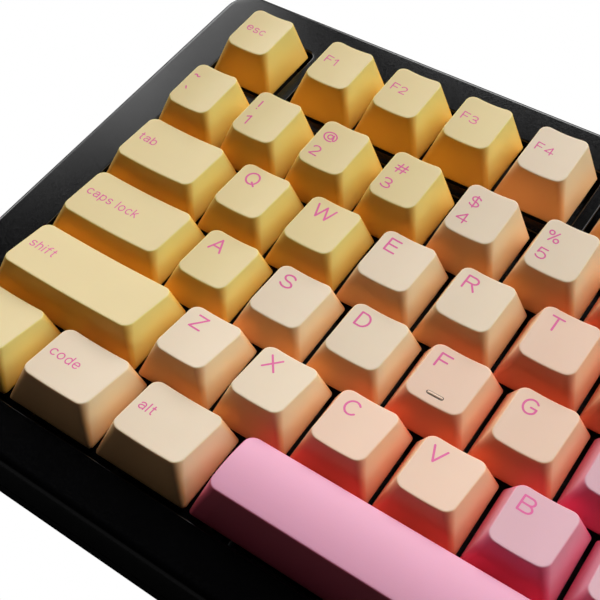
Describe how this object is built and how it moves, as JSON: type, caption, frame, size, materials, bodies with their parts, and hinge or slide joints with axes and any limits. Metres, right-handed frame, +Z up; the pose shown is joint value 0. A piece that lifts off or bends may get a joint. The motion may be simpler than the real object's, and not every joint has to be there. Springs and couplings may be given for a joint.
{
  "type": "mechanical keyboard",
  "caption": "Compact wedge-shaped keyboard with sculpted coloured keycaps set in a black metal frame, a wide space bar and a round knob in the back right corner.",
  "frame": {"origin": "on the desk under the middle of the case", "axes": "+X to the typist's right along the keys, +Y away from the typist, +Z up"},
  "size_m": [0.335, 0.1424, 0.0466],
  "materials": {
    "case_black": "anodised black, fine matt",
    "plate_metal": "anodised black",
    "board": "circuit board with a solder mask",
    "switch_plastic": "milky clear plastic",
    "spring_metal": "gold plated",
    "led_lens": "clear lens",
    "stabilizer_plastic": "moulded",
    "wire_steel": "plain wire",
    "socket_steel": "plated shell",
    "screw_steel": "dark zinc",
    "foot_rubber": "matt",
    "encoder_metal": "plated",
    "shaft_metal": "turned",
    "knob_black": "anodised black, turned",
    "cap_lemon": "satin moulded plastic",
    "cap_cream": "satin moulded plastic",
    "cap_peach": "satin moulded plastic",
    "cap_pink": "satin moulded plastic",
    "cap_orchid": "satin moulded plastic"
  },
  "bodies": {
    "case": {"top_case": "case_black", "bottom_case": "case_black", "switch_plate": "plate_metal", "circuit_board": "board", "switch_housings": "switch_plastic", "switch_springs": "spring_metal", "switch_leds": "led_lens", "stabilizer_housings": "stabilizer_plastic", "cable_socket": "socket_steel", "case_screws": "screw_steel", "rubber_feet": "foot_rubber", "encoder_body": "encoder_metal"},
    "key_esc": {"key_esc": "cap_lemon"},
    "key_f1": {"key_f1": "cap_lemon"},
    "key_f2": {"key_f2": "cap_lemon"},
    "key_f3": {"key_f3": "cap_lemon"},
    "key_f4": {"key_f4": "cap_cream"},
    "key_grave": {"key_grave": "cap_lemon"},
    "key_1": {"key_1": "cap_lemon"},
    "key_2": {"key_2": "cap_lemon"},
    "key_3": {"key_3": "cap_lemon"},
    "key_4": {"key_4": "cap_cream"},
    "key_5": {"key_5": "cap_cream"},
    "key_backspace": {"key_backspace": "cap_orchid"},
    "key_tab": {"key_tab": "cap_lemon"},
    "key_q": {"key_q": "cap_lemon"},
    "key_w": {"key_w": "cap_lemon"},
    "key_e": {"key_e": "cap_cream"},
    "key_r": {"key_r": "cap_cream"},
    "key_t": {"key_t": "cap_peach"},
    "key_caps_lock": {"key_caps_lock": "cap_lemon"},
    "key_a": {"key_a": "cap_lemon"},
    "key_s": {"key_s": "cap_cream"},
    "key_d": {"key_d": "cap_cream"},
    "key_f": {"key_f": "cap_peach"},
    "key_g": {"key_g": "cap_peach"},
    "key_enter": {"key_enter": "cap_orchid"},
    "key_left_shift": {"key_left_shift": "cap_lemon"},
    "key_z": {"key_z": "cap_cream"},
    "key_x": {"key_x": "cap_cream"},
    "key_c": {"key_c": "cap_peach"},
    "key_v": {"key_v": "cap_peach"},
    "key_b": {"key_b": "cap_pink"},
    "key_left_ctrl": {"key_left_ctrl": "cap_lemon"},
    "key_code": {"key_code": "cap_cream"},
    "key_left_alt": {"key_left_alt": "cap_cream"},
    "key_space": {"key_space": "cap_orchid"},
    "keys_function_right": {"keys_function_right": "cap_pink"},
    "keys_number_right": {"keys_number_right": "cap_pink"},
    "keys_upper_right": {"keys_upper_right": "cap_pink"},
    "keys_home_right": {"keys_home_right": "cap_pink"},
    "keys_lower_right": {"keys_lower_right": "cap_pink"},
    "keys_arrows": {"keys_arrows": "cap_orchid"},
    "keys_navigation": {"keys_navigation": "cap_orchid"},
    "wire_space": {"wire_space": "wire_steel"},
    "wire_shift": {"wire_shift": "wire_steel"},
    "wire_enter": {"wire_enter": "wire_steel"},
    "wire_backspace": {"wire_backspace": "wire_steel"},
    "knob": {"knob": "knob_black", "encoder_shaft": "shaft_metal"}
  },
  "joints": [
    {"name": "key_esc_press", "type": "slide", "parent": "case", "child": "key_esc", "axis": [0, 0.1045, -0.9945], "range_m": [0, 0.004], "stiffness_N_per_m": 75, "springref_m": -0.006},
    {"name": "key_f1_press", "type": "slide", "parent": "case", "child": "key_f1", "axis": [0, 0.1045, -0.9945], "range_m": [0, 0.004], "stiffness_N_per_m": 75, "springref_m": -0.006},
    {"name": "key_f2_press", "type": "slide", "parent": "case", "child": "key_f2", "axis": [0, 0.1045, -0.9945], "range_m": [0, 0.004], "stiffness_N_per_m": 75, "springref_m": -0.006},
    {"name": "key_f3_press", "type": "slide", "parent": "case", "child": "key_f3", "axis": [0, 0.1045, -0.9945], "range_m": [0, 0.004], "stiffness_N_per_m": 75, "springref_m": -0.006},
    {"name": "key_f4_press", "type": "slide", "parent": "case", "child": "key_f4", "axis": [0, 0.1045, -0.9945], "range_m": [0, 0.004], "stiffness_N_per_m": 75, "springref_m": -0.006},
    {"name": "key_grave_press", "type": "slide", "parent": "case", "child": "key_grave", "axis": [0, 0.1045, -0.9945], "range_m": [0, 0.004], "stiffness_N_per_m": 75, "springref_m": -0.006},
    {"name": "key_1_press", "type": "slide", "parent": "case", "child": "key_1", "axis": [0, 0.1045, -0.9945], "range_m": [0, 0.004], "stiffness_N_per_m": 75, "springref_m": -0.006},
    {"name": "key_2_press", "type": "slide", "parent": "case", "child": "key_2", "axis": [0, 0.1045, -0.9945], "range_m": [0, 0.004], "stiffness_N_per_m": 75, "springref_m": -0.006},
    {"name": "key_3_press", "type": "slide", "parent": "case", "child": "key_3", "axis": [0, 0.1045, -0.9945], "range_m": [0, 0.004], "stiffness_N_per_m": 75, "springref_m": -0.006},
    {"name": "key_4_press", "type": "slide", "parent": "case", "child": "key_4", "axis": [0, 0.1045, -0.9945], "range_m": [0, 0.004], "stiffness_N_per_m": 75, "springref_m": -0.006},
    {"name": "key_5_press", "type": "slide", "parent": "case", "child": "key_5", "axis": [0, 0.1045, -0.9945], "range_m": [0, 0.004], "stiffness_N_per_m": 75, "springref_m": -0.006},
    {"name": "key_backspace_press", "type": "slide", "parent": "case", "child": "key_backspace", "axis": [0, 0.1045, -0.9945], "range_m": [0, 0.004], "stiffness_N_per_m": 75, "springref_m": -0.006},
    {"name": "key_tab_press", "type": "slide", "parent": "case", "child": "key_tab", "axis": [0, 0.1045, -0.9945], "range_m": [0, 0.004], "stiffness_N_per_m": 75, "springref_m": -0.006},
    {"name": "key_q_press", "type": "slide", "parent": "case", "child": "key_q", "axis": [0, 0.1045, -0.9945], "range_m": [0, 0.004], "stiffness_N_per_m": 75, "springref_m": -0.006},
    {"name": "key_w_press", "type": "slide", "parent": "case", "child": "key_w", "axis": [0, 0.1045, -0.9945], "range_m": [0, 0.004], "stiffness_N_per_m": 75, "springref_m": -0.006},
    {"name": "key_e_press", "type": "slide", "parent": "case", "child": "key_e", "axis": [0, 0.1045, -0.9945], "range_m": [0, 0.004], "stiffness_N_per_m": 75, "springref_m": -0.006},
    {"name": "key_r_press", "type": "slide", "parent": "case", "child": "key_r", "axis": [0, 0.1045, -0.9945], "range_m": [0, 0.004], "stiffness_N_per_m": 75, "springref_m": -0.006},
    {"name": "key_t_press", "type": "slide", "parent": "case", "child": "key_t", "axis": [0, 0.1045, -0.9945], "range_m": [0, 0.004], "stiffness_N_per_m": 75, "springref_m": -0.006},
    {"name": "key_caps_lock_press", "type": "slide", "parent": "case", "child": "key_caps_lock", "axis": [0, 0.1045, -0.9945], "range_m": [0, 0.004], "stiffness_N_per_m": 75, "springref_m": -0.006},
    {"name": "key_a_press", "type": "slide", "parent": "case", "child": "key_a", "axis": [0, 0.1045, -0.9945], "range_m": [0, 0.004], "stiffness_N_per_m": 75, "springref_m": -0.006},
    {"name": "key_s_press", "type": "slide", "parent": "case", "child": "key_s", "axis": [0, 0.1045, -0.9945], "range_m": [0, 0.004], "stiffness_N_per_m": 75, "springref_m": -0.006},
    {"name": "key_d_press", "type": "slide", "parent": "case", "child": "key_d", "axis": [0, 0.1045, -0.9945], "range_m": [0, 0.004], "stiffness_N_per_m": 75, "springref_m": -0.006},
    {"name": "key_f_press", "type": "slide", "parent": "case", "child": "key_f", "axis": [0, 0.1045, -0.9945], "range_m": [0, 0.004], "stiffness_N_per_m": 75, "springref_m": -0.006},
    {"name": "key_g_press", "type": "slide", "parent": "case", "child": "key_g", "axis": [0, 0.1045, -0.9945], "range_m": [0, 0.004], "stiffness_N_per_m": 75, "springref_m": -0.006},
    {"name": "key_enter_press", "type": "slide", "parent": "case", "child": "key_enter", "axis": [0, 0.1045, -0.9945], "range_m": [0, 0.004], "stiffness_N_per_m": 75, "springref_m": -0.006},
    {"name": "key_left_shift_press", "type": "slide", "parent": "case", "child": "key_left_shift", "axis": [0, 0.1045, -0.9945], "range_m": [0, 0.004], "stiffness_N_per_m": 75, "springref_m": -0.006},
    {"name": "key_z_press", "type": "slide", "parent": "case", "child": "key_z", "axis": [0, 0.1045, -0.9945], "range_m": [0, 0.004], "stiffness_N_per_m": 75, "springref_m": -0.006},
    {"name": "key_x_press", "type": "slide", "parent": "case", "child": "key_x", "axis": [0, 0.1045, -0.9945], "range_m": [0, 0.004], "stiffness_N_per_m": 75, "springref_m": -0.006},
    {"name": "key_c_press", "type": "slide", "parent": "case", "child": "key_c", "axis": [0, 0.1045, -0.9945], "range_m": [0, 0.004], "stiffness_N_per_m": 75, "springref_m": -0.006},
    {"name": "key_v_press", "type": "slide", "parent": "case", "child": "key_v", "axis": [0, 0.1045, -0.9945], "range_m": [0, 0.004], "stiffness_N_per_m": 75, "springref_m": -0.006},
    {"name": "key_b_press", "type": "slide", "parent": "case", "child": "key_b", "axis": [0, 0.1045, -0.9945], "range_m": [0, 0.004], "stiffness_N_per_m": 75, "springref_m": -0.006},
    {"name": "key_left_ctrl_press", "type": "slide", "parent": "case", "child": "key_left_ctrl", "axis": [0, 0.1045, -0.9945], "range_m": [0, 0.004], "stiffness_N_per_m": 75, "springref_m": -0.006},
    {"name": "key_code_press", "type": "slide", "parent": "case", "child": "key_code", "axis": [0, 0.1045, -0.9945], "range_m": [0, 0.004], "stiffness_N_per_m": 75, "springref_m": -0.006},
    {"name": "key_left_alt_press", "type": "slide", "parent": "case", "child": "key_left_alt", "axis": [0, 0.1045, -0.9945], "range_m": [0, 0.004], "stiffness_N_per_m": 75, "springref_m": -0.006},
    {"name": "key_space_press", "type": "slide", "parent": "case", "child": "key_space", "axis": [0, 0.1045, -0.9945], "range_m": [0, 0.004], "stiffness_N_per_m": 75, "springref_m": -0.006},
    {"name": "keys_function_right_press", "type": "slide", "parent": "case", "child": "keys_function_right", "axis": [0, 0.1045, -0.9945], "range_m": [0, 0.004], "stiffness_N_per_m": 675, "springref_m": -0.006},
    {"name": "keys_number_right_press", "type": "slide", "parent": "case", "child": "keys_number_right", "axis": [0, 0.1045, -0.9945], "range_m": [0, 0.004], "stiffness_N_per_m": 525, "springref_m": -0.006},
    {"name": "keys_upper_right_press", "type": "slide", "parent": "case", "child": "keys_upper_right", "axis": [0, 0.1045, -0.9945], "range_m": [0, 0.004], "stiffness_N_per_m": 600, "springref_m": -0.006},
    {"name": "keys_home_right_press", "type": "slide", "parent": "case", "child": "keys_home_right", "axis": [0, 0.1045, -0.9945], "range_m": [0, 0.004], "stiffness_N_per_m": 450, "springref_m": -0.006},
    {"name": "keys_lower_right_press", "type": "slide", "parent": "case", "child": "keys_lower_right", "axis": [0, 0.1045, -0.9945], "range_m": [0, 0.004], "stiffness_N_per_m": 450, "springref_m": -0.006},
    {"name": "keys_arrows_press", "type": "slide", "parent": "case", "child": "keys_arrows", "axis": [0, 0.1045, -0.9945], "range_m": [0, 0.004], "stiffness_N_per_m": 525, "springref_m": -0.006},
    {"name": "keys_navigation_press", "type": "slide", "parent": "case", "child": "keys_navigation", "axis": [0, 0.1045, -0.9945], "range_m": [0, 0.004], "stiffness_N_per_m": 300, "springref_m": -0.006},
    {"name": "wire_space_turn", "type": "hinge", "parent": "case", "child": "wire_space", "pos_m": [-0.02381, -0.05832, 0.01512], "axis": [-1, 0, 0], "range_deg": [0, 34.84]},
    {"name": "wire_shift_turn", "type": "hinge", "parent": "case", "child": "wire_shift", "pos_m": [-0.13335, -0.03937, 0.01711], "axis": [-1, 0, 0], "range_deg": [0, 34.84]},
    {"name": "wire_enter_turn", "type": "hinge", "parent": "case", "child": "wire_enter", "pos_m": [0.10954, -0.02043, 0.0191], "axis": [-1, 0, 0], "range_deg": [0, 34.84]},
    {"name": "wire_backspace_turn", "type": "hinge", "parent": "case", "child": "wire_backspace", "pos_m": [0.11192, 0.01746, 0.02309], "axis": [-1, 0, 0], "range_deg": [0, 34.84]},
    {"name": "knob_turn", "type": "hinge", "parent": "case", "child": "knob", "pos_m": [0.14526, 0.04908, 0.03334], "axis": [0, -0.1045, 0.9945], "continuous": true}
  ],
  "couplings": [
    {"joint": "wire_space_turn", "follows": "key_space_press", "rad_per_m": 151.56},
    {"joint": "wire_shift_turn", "follows": "key_left_shift_press", "rad_per_m": 151.56},
    {"joint": "wire_enter_turn", "follows": "key_enter_press", "rad_per_m": 151.56},
    {"joint": "wire_backspace_turn", "follows": "key_backspace_press", "rad_per_m": 151.56}
  ]
}
